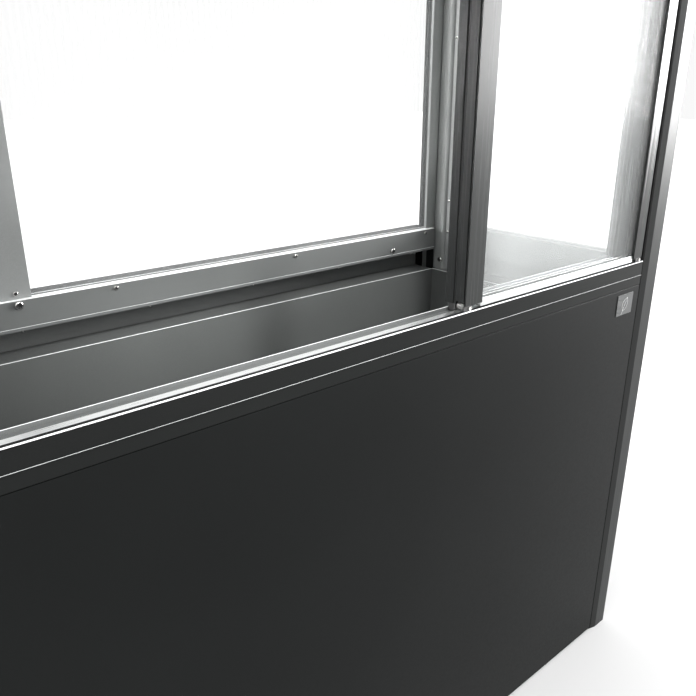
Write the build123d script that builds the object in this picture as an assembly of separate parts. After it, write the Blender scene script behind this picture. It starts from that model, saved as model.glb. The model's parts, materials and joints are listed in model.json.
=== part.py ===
"""Glazed cold frame on a raised bed, with sliding front doors and two roof lids.

Millimetres. +X runs to the right along the front, +Y from the front to the rear and +Z up.
The origin is on the ground, at the centre of the footprint.
"""
from build123d import *
import os
from math import atan2, cos, degrees, radians, sin

# ---------------------------------------------------------------- driving dimensions
overall_width = 2010.0
overall_depth = 582.0
sill_height = 850.0        # top of the front sill above the ground
eave_height = 1410.0       # roof plane at the front face
ridge_height = 1500.0      # roof plane at the rear face

# corner posts: an extrusion with a cover fin along each outer face
post_body = 47.0
post_face = 55.0           # outer face with its fin
post_flat = 37.0           # part of that face that lies in the outer plane
post_fin_drop = 5.0        # how far the fin slopes inwards
post_fin_sheet = 2.5
post_wall = 3.0
post_corner_radius = 4.0
post_inner_radius = 2.0

# outer skin of the bed
panel_sheet = 2.0
panel_recess = 1.5         # panel face behind the post face
panel_gap = 4.0            # shadow gap between a panel and a post fin
panel_return = 25.0        # depth of the folded edge beside a post
panel_foot = 8.0           # lower edge above the ground
panel_flange = 40.0

# inner skin of the bed
liner_sheet = 2.0
side_wall = 65.0           # outer face to the inside of a side wall
rear_wall = 64.0
front_wall = 60.0
liner_drop = 109.0         # liner top below the front sill

# front sill with two tracks, measured from the front face
sill_depth = 39.5
fascia_height = 28.0
fascia_recess = 1.2
fascia_lip = 1.6
sill_lip_recess = 0.4      # rounded lip under the fascia, behind the front face
front_lip = 1.4
rib_start = 6.0
rib_end = 21.0
rib_drop = 1.0
groove_drop = 6.0
channel_end = 37.5
channel_drop = 5.0
profile_wall = 2.5
trim_height = 16.8
trim_depth = 12.0
seam = 0.8
plug_hold = 20.0           # end plug inside its rail
plug_recess = 10.0         # and behind the outer face

# rear rail inside the rear wall
band_top_drop = 12.0       # below the front sill
band_height = 49.5
band_back = 3.0            # wall behind the rear sheet's groove
band_end = 5.0             # from the side liner to the end of the rail's face
side_sill_height = 60.0
side_rail_gap = 0.5        # between a side rail and the post's fin

# glazing: twin-wall sheets
glazing = 10.0
glazing_fit = 0.2          # clearance each side in a groove
glazing_hold = 8.0         # depth of a glazing groove
sheet_play = 1.0           # from the edge of a sheet to the bottom of its groove
rear_glazing_back = 2.0    # inner face of the rear sheet to the inner face of a post
side_glazing_inset = 24.0  # outer face of the frame to the outer face of a side sheet
side_slot_foot = 20.0      # a post's groove starts this far below the front sill
rear_slot_foot = 60.0
mullion_width = 47.0
mullion_depth = 10.0
bead_width = 32.0
bead_depth = 7.0
side_bead_reach = 19.0
side_bead_body = 34.0
side_bead_flange = 14.0
side_bead_flange_depth = 13.0
side_bead_radius = 7.0

# head rails
head_height = 55.0
head_depth = 42.0
guide_slot = 8.0
guide_slot_depth = 14.0
gable_rail_height = 45.0
rafter_width = 40.0
rafter_height = 35.0
overrun = 10.0             # how far a cutting shape runs past the piece it cuts

# sliding doors, two tracks; distances from the front face
door_depth = 19.0
outer_door_front = 2.0
inner_door_front = 21.6
meeting_stile = 36.0
end_stile = 26.5
inner_end_stile = 37.0
stile_groove = 2.5
stile_groove_inset = 2.0
groove_wall = 1.0
door_foot = 8.0            # underside of a stile above the sill
door_head_gap = 2.0
door_rail_height = 12.0
door_rail_wall = 1.5       # each side of the sheet
door_rail_lift = 1.5
door_glazing_hold = 10.0
tongue = 5.0
tongue_height = 12.0
jamb_seal = 19.0
door_end_gap = 0.5
outer_door_width = 488.0
inner_door_width = 468.5
seal_gap = 0.5             # between the seal and the post's fin
seal_depth = 28.0

# rollers of the outer doors
roller_radius = 6.5
roller_width = 13.0
roller_inset = 7.0         # roller axis from the meeting edge of its door
end_roller_inset = 8.0     # and from the other edge
axle_radius = 1.5
running_fit = 0.05
wheel_room = 1.0           # around a roller in its stile
roller_side_gap = 0.5
carriage_half = 7.5
carriage_lift = 0.3        # above the front sill
ear = 2.6
carriage_screw_radius = 3.0
carriage_screw_height = 1.4
carriage_screw_offset = 4.0
shoe_end_gap = 2.0         # from the ends of a shoe to its stile's faces
shoe_side_gap = 1.0        # to the inner lip of the sill
shoe_rib_gap = 2.0

# roof lids with a bead that turns in a channel along the rear head
lid_rail = 32.0
lid_side_rail = 62.0
lid_gap = 2.0
lid_edge = 1.0             # lid edge inside the frame at the sides
lid_front_edge = 4.0
hinge_from_rear = 12.0
hinge_lift = 9.0
seat_gap = 0.2
lid_glazing_lift = 12.4    # sheet above the underside of its lid
lid_cap = 1.6              # top of the lid above its sheet
bead_radius = 4.0
channel_wall = 2.5
neck = 3.0
neck_reach = 8.0
channel_seat = 5.0         # seat of the channel, in front of the hinge axis
channel_seat_share = 0.7   # how far up the channel's bore the seat reaches
lid_bead_start = 4.0       # bead from the inner edge of its lid
lid_bead_end = 6.0         # and from the end of the rear head
slot_low = -28.0
slot_high = 80.0

# stay bars that prop the lids
stay_length = 300.0
stay_width = 10.0
stay_sheet = 3.0
stay_pivot = 420.0         # from the hinge axis
stay_pin_radius = 3.0
stay_gap = 4.0
stay_notch = 4.5
stay_notch_pitch = 25.0
stay_pin_head = 2.0        # pin beyond the bar
stay_lift = 6.0            # middle of the bar above the underside of its lid

# fasteners and small parts
screw_head_radius = 3.8
screw_head_height = 2.6
bolt_head_radius = 6.5
bolt_head_height = 5.0
dome_share = 0.45
socket_share = 0.45
band_screw_drop = 7.0
band_screw_end = 29.0
band_screw_pitch = 377.0
band_bolt_pitch = 805.0
band_bolt_drop = 35.5
mullion_screw_rise = 9.5
under_screw_pitch = 216.0
under_screw_shank = 1.2
under_screw_reach = 2.5
flange_screw_rises = (-19.0, 53.0, 400.0)   # from the side sill's top
corner_bolt_drop = 86.0
corner_bolt_inset = 7.5
plate_width = 52.0
plate_height = 39.0
plate_sheet = 1.2
plate_side_gap = 25.0
plate_drop = 9.0
tie_radius = 8.0
tie_pad_radius = 25.0
tie_height = 420.0

# ---------------------------------------------------------------- worked-out places
right = overall_width / 2
front = -overall_depth / 2
rear = overall_depth / 2
slope = (ridge_height - eave_height) / overall_depth
slope_angle = degrees(atan2(ridge_height - eave_height, overall_depth))
panel_end = right - post_face - panel_gap
post_side = right - post_body
post_inside = rear - post_body
liner_side = right - side_wall
liner_top = sill_height - liner_drop
band_top = sill_height - band_top_drop
band_face = rear - rear_wall
rear_glass_in = post_inside + rear_glazing_back
rear_glass_out = rear_glass_in + glazing
band_rear = rear_glass_out + band_back
side_glass_out = right - side_glazing_inset
side_glass_in = side_glass_out - glazing
side_sill_top = sill_height
head_bottom = eave_height - head_height
door_end = right - post_body - jamb_seal - door_end_gap
door_meeting = door_end - outer_door_width
roller_axis_z = sill_height - rib_drop + running_fit + roller_radius
hinge_y = rear - hinge_from_rear


def block(x0, x1, y0, y1, z0, z1):
    """Box between two opposite corners."""
    return Pos((x0 + x1) / 2, (y0 + y1) / 2, (z0 + z1) / 2) * Box(x1 - x0, y1 - y0, z1 - z0)


def prism_x(points, x0, x1):
    """Outline of (y, z) points, drawn out from x0 to x1."""
    face = Plane.YZ.offset(x0) * make_face(Polyline(*points, close=True))
    return extrude(face, x1 - x0)


def prism_z(points, z0, z1):
    """Outline of (x, y) points, drawn up from z0 to z1."""
    face = Plane.XY.offset(z0) * make_face(Polyline(*points, close=True))
    return extrude(face, z1 - z0)


def mirrored(shape):
    """The same piece on the left of the frame."""
    return mirror(shape, Plane.YZ)


def roof_z(y):
    """Height of the roof plane above a point y."""
    return eave_height + (y - front) * slope


def below_roof(shape):
    """Cut a piece off at the roof plane."""
    high = ridge_height + 3 * overrun
    outline = [
        (front - overrun, roof_z(front - overrun)),
        (rear + overrun, roof_z(rear + overrun)),
        (rear + overrun, high),
        (front - overrun, high),
    ]
    return shape - prism_x(outline, -right - overrun, right + overrun)


nodes = {}


def keep(name, *solids):
    """Note the solids of one node."""
    nodes[name] = solids[0] if len(solids) == 1 else Compound(list(solids))


# ---------------------------------------------------------------- corner posts
def post(at_front):
    """Right-hand post, full height, with its glazing grooves."""
    fin_back = post_fin_drop * (post_body - post_flat) / (post_face - post_flat) + post_fin_sheet
    outline = [
        (0, 0), (post_flat, 0), (post_face, post_fin_drop),
        (post_face, post_fin_drop + post_fin_sheet), (post_body, fin_back),
        (post_body, post_body), (fin_back, post_body),
        (post_fin_drop + post_fin_sheet, post_face), (post_fin_drop, post_face),
        (0, post_flat),
    ]
    body = prism_z(outline, 0, ridge_height + overrun)
    corner = body.edges().filter_by(Axis.Z).sort_by_distance(Vector(0, 0, 0))[0]
    body = fillet(corner, post_corner_radius)
    inner = body.edges().filter_by(Axis.Z).sort_by_distance(Vector(post_body, post_body, 0))[0]
    body = fillet(inner, min(post_inner_radius, rear_glazing_back * 0.6))
    hollow = post_body - glazing_hold - post_wall
    top = ridge_height + 2 * overrun
    body -= block(post_wall, hollow, post_wall, hollow, -overrun, top)
    side_slot = (side_glazing_inset - glazing_fit, side_glazing_inset + glazing + glazing_fit)
    slot_reach = (post_body - glazing_hold, post_body + overrun)
    body -= block(*side_slot, *slot_reach, sill_height - side_slot_foot, top)
    if not at_front:
        rear_slot = (rear - rear_glass_out - glazing_fit, rear - rear_glass_in + glazing_fit)
        body -= block(*slot_reach, *rear_slot, sill_height - rear_slot_foot, top)
    if at_front:
        placed = Pos(right, front, 0) * mirror(body, Plane.YZ)
    else:
        placed = Pos(right, rear, 0) * mirror(mirror(body, Plane.YZ), Plane.XZ)
    return below_roof(placed)


for place, at_front in (("front", True), ("rear", False)):
    right_post = post(at_front)
    keep(f"post_{place}_right", right_post)
    keep(f"post_{place}_left", mirrored(right_post))


# ---------------------------------------------------------------- outer skin of the bed
def panel(half_length, top, edge_gap):
    """Folded panel along X, facing -Y with its face at y = 0, between z = panel_foot and top."""
    skin = block(-half_length, half_length, 0, panel_sheet, panel_foot, top)
    skin += block(-half_length, half_length, 0, panel_flange, panel_foot, panel_foot + panel_sheet)
    for sign in (-1, 1):
        edge = sorted((sign * half_length, sign * (half_length - panel_sheet)))
        wing = sorted((sign * (half_length - panel_sheet), sign * (half_length + edge_gap)))
        skin += block(*edge, 0, panel_return, panel_foot, top)
        skin += block(*wing, panel_return - panel_sheet, panel_return, panel_foot, top)
    return skin


front_top = sill_height - fascia_height - trim_height - seam
edge_gap = post_side - panel_end
keep("front_panel", Pos(0, front + panel_recess, 0) * panel(panel_end, front_top, edge_gap))

side_half = rear - post_face - panel_gap
side_top = side_sill_top - side_sill_height
right_panel = Pos(right - panel_recess, 0, 0) * Rot(0, 0, 90) * panel(side_half, side_top, edge_gap)
keep("right_panel", right_panel)
keep("left_panel", mirrored(right_panel))

rear_panel = Pos(0, rear - panel_recess, 0) * Rot(0, 0, 180) * panel(panel_end, band_top, edge_gap)
rear_panel += block(-panel_end, panel_end, band_rear, rear - panel_recess,
                    band_top - panel_sheet, band_top)
keep("rear_panel", rear_panel)

# ---------------------------------------------------------------- inner skin of the bed
liner_front = front + front_wall
liner_rear = band_face
front_liner = block(-liner_side, liner_side, liner_front - liner_sheet, liner_front, panel_foot, liner_top)
front_liner += block(-liner_side, liner_side, front + panel_recess + panel_sheet, liner_front,
                     liner_top - liner_sheet, liner_top)
keep("front_liner", front_liner)

rear_liner = block(-liner_side, liner_side, liner_rear, liner_rear + liner_sheet, panel_foot, liner_top)
rear_liner += block(-liner_side, liner_side, liner_rear, rear - panel_recess - panel_sheet,
                    liner_top - liner_sheet, liner_top)
keep("rear_liner", rear_liner)

liner_span = (liner_front - liner_sheet, liner_rear + liner_sheet)
ledge_half = side_half - panel_sheet
ledge_span = (max(liner_span[0], -ledge_half), min(liner_span[1], ledge_half))
right_liner = block(liner_side, liner_side + liner_sheet, *liner_span, panel_foot, liner_top)
right_liner += block(liner_side, right - panel_recess - panel_sheet, *ledge_span,
                     liner_top - liner_sheet, liner_top)
keep("right_liner", right_liner)
keep("left_liner", mirrored(right_liner))

tie = Pos(0, (liner_front + liner_rear) / 2, tie_height) * Rot(90, 0, 0) * \
    Cylinder(tie_radius, liner_rear - liner_front)
for y in (liner_front + liner_sheet, liner_rear - liner_sheet):
    tie += Pos(0, y, tie_height) * Rot(90, 0, 0) * Cylinder(tie_pad_radius, 2 * liner_sheet)
keep("cross_tie", tie)

# ---------------------------------------------------------------- front sill and trim strip
s = sill_height
sill_outline = [
    (fascia_recess, s), (fascia_recess + front_lip, s),
    (fascia_recess + front_lip, s - groove_drop), (rib_start, s - groove_drop),
    (rib_start, s - rib_drop), (rib_end, s - rib_drop),
    (rib_end, s - channel_drop), (channel_end, s - channel_drop),
    (channel_end, s), (sill_depth, s),
    (sill_depth, s - fascia_height), (sill_lip_recess, s - fascia_height),
    (sill_lip_recess, s - fascia_height + fascia_lip), (fascia_recess, s - fascia_height + fascia_lip),
]
front_sill = prism_x([(front + y, z) for y, z in sill_outline], -panel_end, panel_end)
hollow_top = s - groove_drop - profile_wall
hollow_bottom = s - fascia_height + profile_wall
front_sill -= block(-panel_end, panel_end, front + fascia_recess + profile_wall,
                    front + sill_depth - profile_wall, hollow_bottom, hollow_top)
for sign in (-1, 1):
    plug = sorted((sign * (panel_end - plug_hold), sign * post_side))
    front_sill += block(*plug, front + plug_recess, front + sill_depth - profile_wall,
                        hollow_bottom, hollow_top)
keep("front_sill", front_sill)

trim_top = s - fascia_height
front_trim = block(-panel_end, panel_end, front + panel_recess, front + trim_depth,
                   trim_top - trim_height, trim_top)
front_trim -= block(-panel_end, panel_end, front + panel_recess + panel_sheet,
                    front + trim_depth - panel_sheet, trim_top - trim_height + panel_sheet,
                    trim_top - panel_sheet)
trim_tab = panel_end - panel_sheet - seam
front_trim += block(-trim_tab, trim_tab, front + panel_recess + panel_sheet,
                    front + panel_recess + 2 * panel_sheet, front_top - trim_depth, trim_top - trim_height)
keep("front_trim", front_trim)

# ---------------------------------------------------------------- rear and side rails of the glazing
band_bottom = band_top - band_height
rear_sill = block(-post_side, post_side, band_face, band_rear, band_bottom, band_top)
rear_sill -= block(-post_side, post_side, rear_glass_in - glazing_fit, rear_glass_out + glazing_fit,
                   band_top - glazing_hold, band_top)
rear_sill -= block(-post_side, post_side, band_face + profile_wall,
                   band_rear - profile_wall, band_bottom - overrun,
                   band_top - glazing_hold - profile_wall)
for sign in (-1, 1):
    end = sorted((sign * (liner_side + band_end), sign * post_side))
    rear_sill -= block(*end, band_face, rear_glass_in - bead_depth, band_bottom, band_top)
keep("rear_sill", rear_sill)

rail_y = (front + post_body, rear - post_body)
bead_rear = rear_glass_in - bead_depth
bead_break = bead_rear - side_bead_body
fin_room = post_fin_drop + post_fin_sheet + side_rail_gap
rail_x = (post_side, right - fin_room)
sill_y = (rail_y[0], bead_break - side_bead_flange)
side_slot_x = (side_glass_in - glazing_fit, side_glass_out + glazing_fit)
right_sill = block(*rail_x, *sill_y, side_sill_top - side_sill_height, side_sill_top)
right_sill -= block(*side_slot_x, *sill_y, side_sill_top - glazing_hold, side_sill_top)
right_sill -= block(rail_x[0] + profile_wall, rail_x[1] - profile_wall, *sill_y,
                    side_sill_top - side_sill_height + profile_wall,
                    side_sill_top - glazing_hold - profile_wall)
keep("right_sill", right_sill)
keep("left_sill", mirrored(right_sill))


# ---------------------------------------------------------------- head rails and rafter
def sloped(y0, y1, low, high):
    """Outline of a bar between two offsets from the roof plane."""
    return [(y0, roof_z(y0) + low), (y1, roof_z(y1) + low), (y1, roof_z(y1) + high), (y0, roof_z(y0) + high)]


def guide_middle(door_front):
    """Middle of a door's track, from the middle of the door."""
    return front + door_front + door_depth / 2


head_outline = [
    (front + fascia_recess, head_bottom), (front + head_depth, head_bottom),
    (front + head_depth, roof_z(front + head_depth)),
    (front + fascia_recess, roof_z(front + fascia_recess)),
]
front_head = prism_x(head_outline, -panel_end, panel_end)
for door_front in (outer_door_front, inner_door_front):
    middle = guide_middle(door_front)
    front_head -= block(-panel_end, panel_end, middle - guide_slot / 2, middle + guide_slot / 2,
                        head_bottom, head_bottom + guide_slot_depth)
core = (front + fascia_recess + profile_wall, front + head_depth - profile_wall)
front_head -= block(-panel_end, panel_end, *core, head_bottom + guide_slot_depth + profile_wall,
                    eave_height - profile_wall)
for sign in (-1, 1):
    plug = sorted((sign * (panel_end - plug_hold), sign * post_side))
    front_head += block(*plug, front + plug_recess, core[1], head_bottom + guide_slot_depth + profile_wall,
                        eave_height - profile_wall)
keep("front_head", front_head)

rear_head_bottom = ridge_height - head_height
rear_head = prism_x([
    (post_inside, rear_head_bottom), (rear - panel_recess, rear_head_bottom),
    (rear - panel_recess, roof_z(rear - panel_recess)), (post_inside, roof_z(post_inside)),
], -panel_end, panel_end)
rear_head -= block(-panel_end, panel_end, rear_glass_in - glazing_fit, rear_glass_out + glazing_fit,
                   rear_head_bottom, rear_head_bottom + glazing_hold)
rear_head -= block(-panel_end, panel_end, post_inside + profile_wall,
                   rear - panel_recess - profile_wall, rear_head_bottom + glazing_hold + profile_wall,
                   roof_z(post_inside) - profile_wall)
for sign in (-1, 1):
    plug = sorted((sign * (panel_end - plug_hold), sign * post_side))
    rear_head += block(*plug, post_inside + profile_wall, rear - plug_recess,
                       rear_head_bottom + glazing_hold + profile_wall,
                       roof_z(post_inside) - profile_wall)

# everything on the roof is drawn flat about the hinge axis, then tilted
on_roof = Pos(0, hinge_y, roof_z(hinge_y) + hinge_lift / cos(atan2(slope, 1))) * Rot(slope_angle, 0, 0)
channel_inner = bead_radius + running_fit
channel_outer = channel_inner + channel_wall
channel = Rot(0, 90, 0) * Cylinder(channel_outer, 2 * panel_end)
channel += block(-panel_end, panel_end, -channel_seat, channel_outer,
                 -hinge_lift, -channel_inner * channel_seat_share)
channel -= Rot(0, 90, 0) * Cylinder(channel_inner, 2 * panel_end)
wedge_reach = 3 * channel_outer


def toward_front(angle):
    """Point at an angle above the down-slope direction, (y, z) about the hinge axis."""
    turn = radians(angle)
    return (-wedge_reach * cos(turn), wedge_reach * sin(turn))


middle_angle = (slot_low + slot_high) / 2
slot = prism_x([(0, 0), toward_front(slot_low), toward_front(middle_angle), toward_front(slot_high)],
               -panel_end, panel_end)
channel -= slot
foot_cut = block(-panel_end, panel_end, -wedge_reach, wedge_reach, -3 * hinge_lift, -hinge_lift)
channel -= foot_cut
rear_head += on_roof * channel
keep("rear_head", rear_head)

gable = prism_x(sloped(*rail_y, -gable_rail_height, 0), *rail_x)
gable -= prism_x(sloped(*rail_y, -gable_rail_height - overrun, -gable_rail_height + glazing_hold),
                 *side_slot_x)
gable -= prism_x(sloped(*rail_y, -gable_rail_height + glazing_hold + profile_wall, -profile_wall),
                 rail_x[0] + profile_wall, rail_x[1] - profile_wall)
keep("right_head", gable)
keep("left_head", mirrored(gable))

rafter = prism_x(sloped(front + head_depth, post_inside, -rafter_height, 0),
                 -rafter_width / 2, rafter_width / 2)
rafter -= prism_x(sloped(front + head_depth, post_inside, -rafter_height + profile_wall, -profile_wall),
                  -rafter_width / 2 + profile_wall, rafter_width / 2 - profile_wall)
keep("centre_rafter", rafter)

# ---------------------------------------------------------------- fixed glazing, mullion and beads
mullion = block(-mullion_width / 2, mullion_width / 2, rear_glass_in - mullion_depth,
                rear_glass_out + mullion_depth, band_top, rear_head_bottom)
for sign in (-1, 1):
    web = sorted((sign * profile_wall, sign * mullion_width / 2))
    mullion -= block(*web, rear_glass_in - glazing_fit, rear_glass_out + glazing_fit,
                     band_top, rear_head_bottom)
keep("rear_mullion", mullion)

rear_pane = block(profile_wall + sheet_play, post_side + glazing_hold - sheet_play,
                  rear_glass_in, rear_glass_out,
                  band_top - glazing_hold + sheet_play, rear_head_bottom + glazing_hold - sheet_play)
keep("rear_pane_right", rear_pane)
keep("rear_pane_left", mirrored(rear_pane))

pane_y = (rail_y[0] - glazing_hold + sheet_play, rail_y[1] + glazing_hold - sheet_play)
gable_pane_low = side_sill_top - glazing_hold + sheet_play
gable_pane_drop = gable_rail_height - glazing_hold + sheet_play
side_pane = prism_x([
    (pane_y[0], gable_pane_low), (pane_y[1], gable_pane_low),
    (pane_y[1], roof_z(pane_y[1]) - gable_pane_drop), (pane_y[0], roof_z(pane_y[0]) - gable_pane_drop),
], side_glass_in, side_glass_out)
keep("right_pane", side_pane)
keep("left_pane", mirrored(side_pane))

rear_bead = block(post_side - bead_width, post_side, rear_glass_in - bead_depth, rear_glass_in,
                  band_top, rear_head_bottom)
keep("rear_beads", rear_bead, mirrored(rear_bead))

side_bead_top = roof_z(bead_break - side_bead_flange) - gable_rail_height
side_bead = block(side_glass_in - side_bead_reach, side_glass_in, bead_break, bead_rear,
                  liner_top, side_bead_top)
inside_edges = side_bead.edges().filter_by(Axis.Z).sort_by(Axis.X)[:2]
side_bead = fillet(inside_edges, side_bead_radius)
side_bead += block(side_glass_in - side_bead_flange_depth, side_glass_in,
                   bead_break - side_bead_flange, bead_break, liner_top, side_bead_top)
keep("side_beads", side_bead, mirrored(side_bead))

seal_inset = fin_room - side_rail_gap + seal_gap
seal_front = front + seal_inset
seal = block(post_side - jamb_seal, post_side, seal_front, seal_front + seal_depth,
             sill_height, head_bottom)
seal -= block(post_side - jamb_seal, post_side - jamb_seal / 2, seal_front + seal_depth / 3,
              seal_front + 2 * seal_depth / 3, sill_height - overrun, head_bottom + overrun)
keep("jamb_seals", seal, mirrored(seal))


# ---------------------------------------------------------------- sliding doors
def stile(x0, x1, door_front, groove_side, pane_side):
    """Vertical door profile: a dark joint in one edge and the pane's groove in the other."""
    low = sill_height + door_foot
    high = head_bottom - door_head_gap
    y0 = front + door_front
    body = block(x0, x1, y0, y0 + door_depth, low, high)
    pane_y = guide_middle(door_front)
    slot = (pane_y - glazing / 2 - glazing_fit, pane_y + glazing / 2 + glazing_fit)
    reach = door_glazing_hold + sheet_play
    if pane_side > 0:
        body -= block(x1 - reach, x1, *slot, low, high)
        hollow = (x0 + stile_groove + groove_wall, x1 - reach - profile_wall)
    else:
        body -= block(x0, x0 + reach, *slot, low, high)
        hollow = (x0 + reach + profile_wall, x1 - profile_wall)
    body -= block(*hollow, *slot, low, high)
    if groove_side:
        edge = (x0, x0 + stile_groove) if groove_side < 0 else (x1 - stile_groove, x1)
        groove_y = y0 + stile_groove_inset
        body -= block(*edge, groove_y, groove_y + stile_groove, low, high)
    return body


def door(x0, x1, door_front, end_width):
    """Right-hand door between two x values: its pane, its stiles and its rails."""
    middle = guide_middle(door_front)
    inner = (x0 + meeting_stile, x1 - end_width)
    stiles = [stile(x0, inner[0], door_front, -1, 1), stile(inner[1], x1, door_front, 0, -1)]
    pane_y = (middle - glazing / 2, middle + glazing / 2)
    slot_y = (pane_y[0] - glazing_fit, pane_y[1] + glazing_fit)
    rail_y = (pane_y[0] - door_rail_wall, pane_y[1] + door_rail_wall)
    low = sill_height + door_rail_lift
    high = head_bottom - door_head_gap
    floor = 2 * sheet_play
    bottom_rail = block(*inner, *rail_y, low, low + door_rail_height)
    bottom_rail -= block(*inner, *slot_y, low + floor, low + door_rail_height)
    top_rail = block(*inner, *rail_y, high - door_rail_height, high)
    top_rail -= block(*inner, *slot_y, high - door_rail_height, high - floor)
    top_rail += block(*inner, middle - tongue / 2, middle + tongue / 2, high - floor, high + tongue_height)
    pane = block(inner[0] - door_glazing_hold, inner[1] + door_glazing_hold, *pane_y,
                 low + floor, high - floor)
    return pane, stiles, [bottom_rail, top_rail]


def keep_door(name, pieces):
    """Nodes of a door on the right, and of its mirror image on the left."""
    pane, stiles, rails = pieces
    keep(f"{name}_right_pane", pane)
    keep(f"{name}_right_stiles", *stiles)
    keep(f"{name}_right_rails", *rails)
    keep(f"{name}_left_pane", mirrored(pane))
    keep(f"{name}_left_stiles", *[mirrored(part) for part in stiles])
    keep(f"{name}_left_rails", *[mirrored(part) for part in rails])


outer_pane, outer_stiles, outer_rails = door(door_meeting, door_end, outer_door_front, end_stile)
roller_y = front + (rib_start + rib_end) / 2
roller_x = (door_meeting + roller_inset, door_end - end_roller_inset)
well = roller_radius + wheel_room
well_y = (roller_y - roller_width / 2 - roller_side_gap, roller_y + roller_width / 2 + roller_side_gap)
carriage_face = well_y[0] - ear
carriage_foot = sill_height + carriage_lift
carriages = []
rollers = []
for index, x in enumerate(roller_x):
    outer_stiles[index] -= block(x - well, x + well, *well_y, sill_height, roller_axis_z + well)
    carriage = block(x - carriage_half, x + carriage_half, carriage_face, well_y[0],
                     carriage_foot, sill_height + door_foot)
    carriage += Pos(x, (carriage_face + well_y[1]) / 2, roller_axis_z) * Rot(90, 0, 0) * \
        Cylinder(axle_radius, well_y[1] - carriage_face)
    carriage += Pos(x + carriage_screw_offset, carriage_face - carriage_screw_height / 2,
                    carriage_foot + carriage_screw_radius) * Rot(90, 0, 0) * \
        Cylinder(carriage_screw_radius, carriage_screw_height)
    carriages.append(carriage)
    roller = Pos(x, roller_y, roller_axis_z) * Rot(90, 0, 0) * Cylinder(roller_radius, roller_width)
    roller -= Pos(x, roller_y, roller_axis_z) * Rot(90, 0, 0) * \
        Cylinder(axle_radius + running_fit, roller_width)
    rollers.append(roller)
keep_door("outer_door", (outer_pane, outer_stiles, outer_rails))
keep("outer_door_right_carriages", *carriages)
keep("outer_door_left_carriages", *[mirrored(part) for part in carriages])
for place, roller in zip(("inner", "end"), rollers):
    keep(f"roller_right_{place}", roller)
    keep(f"roller_left_{place}", mirrored(roller))

inner_stop = door_meeting + inner_door_width
keep_door("inner_door", door(door_meeting, inner_stop, inner_door_front, inner_end_stile))
shoe_y = (front + rib_end + shoe_rib_gap, front + channel_end - shoe_side_gap)
shoe_z = (sill_height - channel_drop + running_fit, sill_height + door_foot)
shoe_spans = (
    (door_meeting, door_meeting + meeting_stile - door_glazing_hold),
    (inner_stop - inner_end_stile + door_glazing_hold, inner_stop),
)
shoes = [block(x0 + shoe_end_gap, x1 - shoe_end_gap, *shoe_y, *shoe_z) for x0, x1 in shoe_spans]
keep("inner_door_right_shoes", *shoes)
keep("inner_door_left_shoes", *[mirrored(part) for part in shoes])

# ---------------------------------------------------------------- roof lids
lid_bottom = -hinge_lift + seat_gap
lid_reach = (overall_depth - hinge_from_rear - lid_front_edge) / cos(atan2(slope, 1))
lid_x = (lid_gap, right - lid_edge)
lid_inner_x = (lid_x[0] + lid_rail, lid_x[1] - lid_side_rail)
lid_inner_y = (-lid_reach + lid_rail, -neck_reach - lid_rail)
glass_z = (lid_bottom + lid_glazing_lift, lid_bottom + lid_glazing_lift + glazing)
lid_top = glass_z[1] + lid_cap
slot_z = (glass_z[0] - glazing_fit, glass_z[1] + glazing_fit)
slot_x = (lid_inner_x[0] - glazing_hold, lid_inner_x[1] + glazing_hold)
slot_y = (lid_inner_y[0] - glazing_hold, lid_inner_y[1] + glazing_hold)
pane_room = block(*slot_x, *slot_y, *slot_z)
front_rail = block(*lid_x, -lid_reach, lid_inner_y[0], lid_bottom, lid_top) - pane_room
back_rail = block(*lid_x, lid_inner_y[1], -neck_reach, lid_bottom, lid_top) - pane_room
bead_x = (lid_gap + lid_bead_start, panel_end - lid_bead_end)
back_rail += block(*bead_x, -neck_reach, 0, -neck / 2, neck / 2)
back_rail += Pos(sum(bead_x) / 2, 0, 0) * Rot(0, 90, 0) * Cylinder(bead_radius, bead_x[1] - bead_x[0])
near_rail = block(lid_x[0], lid_inner_x[0], *lid_inner_y, lid_bottom, lid_top) - pane_room
far_rail = block(lid_inner_x[1], lid_x[1], *lid_inner_y, lid_bottom, lid_top) - pane_room
pin_z = lid_bottom + stay_lift
stay_x = (lid_inner_x[1] - stay_gap - stay_sheet, lid_inner_x[1] - stay_gap)
pin_x = (stay_x[0] - stay_pin_head, lid_inner_x[1])
far_rail += Pos(sum(pin_x) / 2, -stay_pivot, pin_z) * Rot(0, 90, 0) * \
    Cylinder(stay_pin_radius, pin_x[1] - pin_x[0])
lid_frame = [on_roof * part for part in (front_rail, back_rail, near_rail, far_rail)]
keep("lid_right_frame", *lid_frame)
keep("lid_left_frame", *[mirrored(part) for part in lid_frame])

lid_pane = on_roof * block(slot_x[0] + sheet_play, slot_x[1] - sheet_play,
                           slot_y[0] + sheet_play, slot_y[1] - sheet_play, *glass_z)
keep("lid_right_pane", lid_pane)
keep("lid_left_pane", mirrored(lid_pane))

# ---------------------------------------------------------------- stay bars
stay_low = pin_z - stay_width / 2
stay_end = -stay_pivot + stay_length
stay = block(*stay_x, -stay_pivot, stay_end, stay_low, stay_low + stay_width)
stay += Pos(sum(stay_x) / 2, -stay_pivot, pin_z) * Rot(0, 90, 0) * Cylinder(stay_width / 2, stay_sheet)
stay -= Pos(0, -stay_pivot, pin_z) * Rot(0, 90, 0) * \
    Cylinder(stay_pin_radius + running_fit, overall_width)
for step in (1, 2, 3):
    y = stay_end - step * stay_notch_pitch
    stay -= block(*stay_x, y - stay_notch / 2, y + stay_notch / 2, stay_low, stay_low + stay_notch)
stay = on_roof * stay
keep("stay_right", stay)
keep("stay_left", mirrored(stay))


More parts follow.
